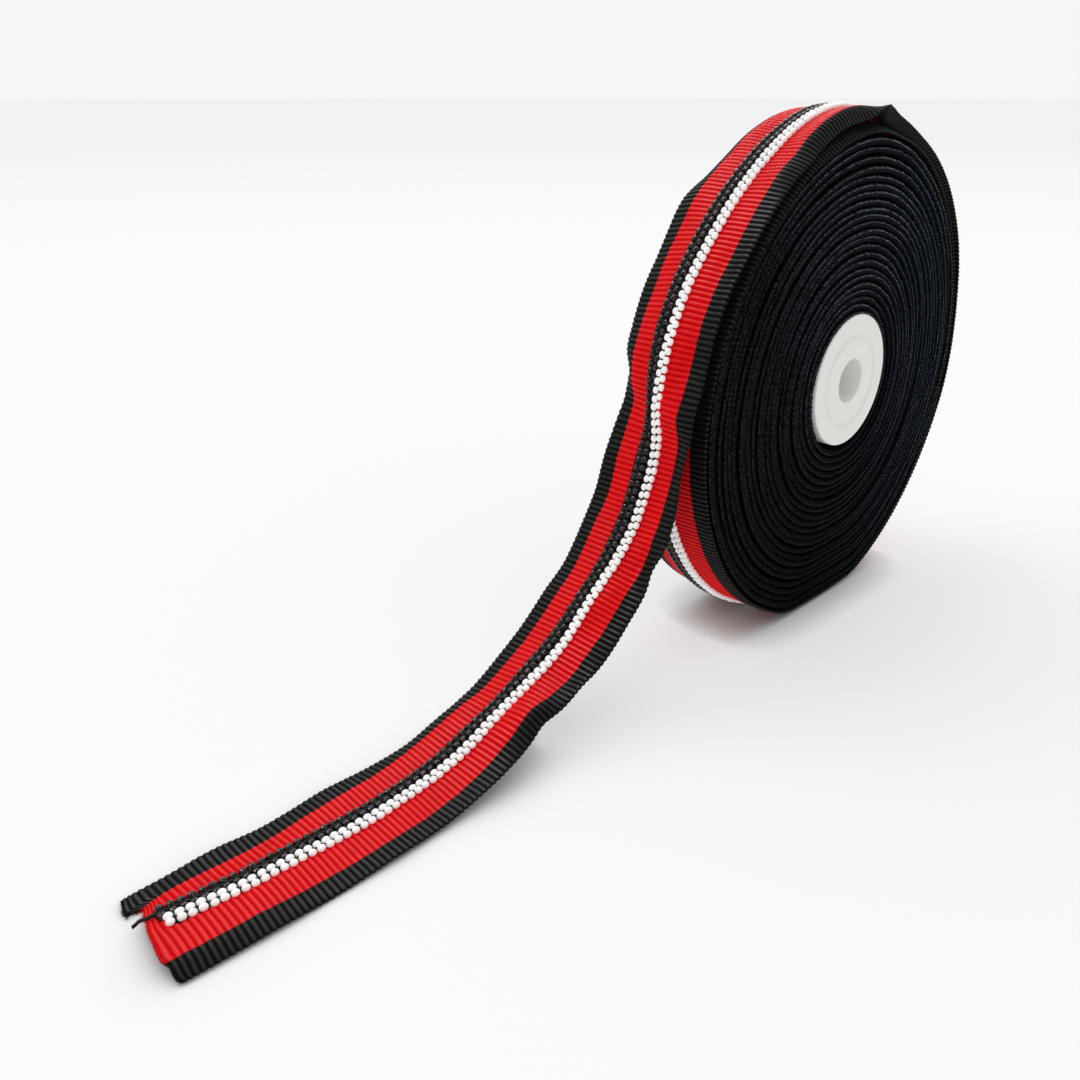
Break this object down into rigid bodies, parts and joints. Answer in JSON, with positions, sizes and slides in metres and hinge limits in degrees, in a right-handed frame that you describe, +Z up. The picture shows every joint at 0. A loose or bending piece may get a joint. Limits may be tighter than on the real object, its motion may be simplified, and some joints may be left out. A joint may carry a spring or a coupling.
{
  "type": "roll of beaded ribbon trim",
  "caption": "Striped ribbed ribbon with sewn rows of small round beads, wound on a plain round hub and standing on edge, its loose end let down in front.",
  "frame": {"origin": "on the surface the roll stands on, at the small flat under the middle of its width", "axes": "+Z up, +Y away from the loose end, +X along the roll's axis towards the face that shows the white bead rows nearer to it"},
  "size_m": [0.0279, 0.2621, 0.1311],
  "materials": {
    "black_cloth": "ribbed woven selvedge, matt black",
    "red_cloth": "ribbed woven ribbon, bright red with black edges",
    "black_beads": "glossy black beads in a double row",
    "white_beads": "glossy white beads in a double row",
    "hub_plastic": "white moulded plastic, satin"
  },
  "bodies": {
    "root": {"wound_ribbon": "black_cloth", "hub": "hub_plastic", "loose_ribbon": "red_cloth", "black_bead_rows": "black_beads", "white_bead_rows": "white_beads"}
  },
  "joints": []
}
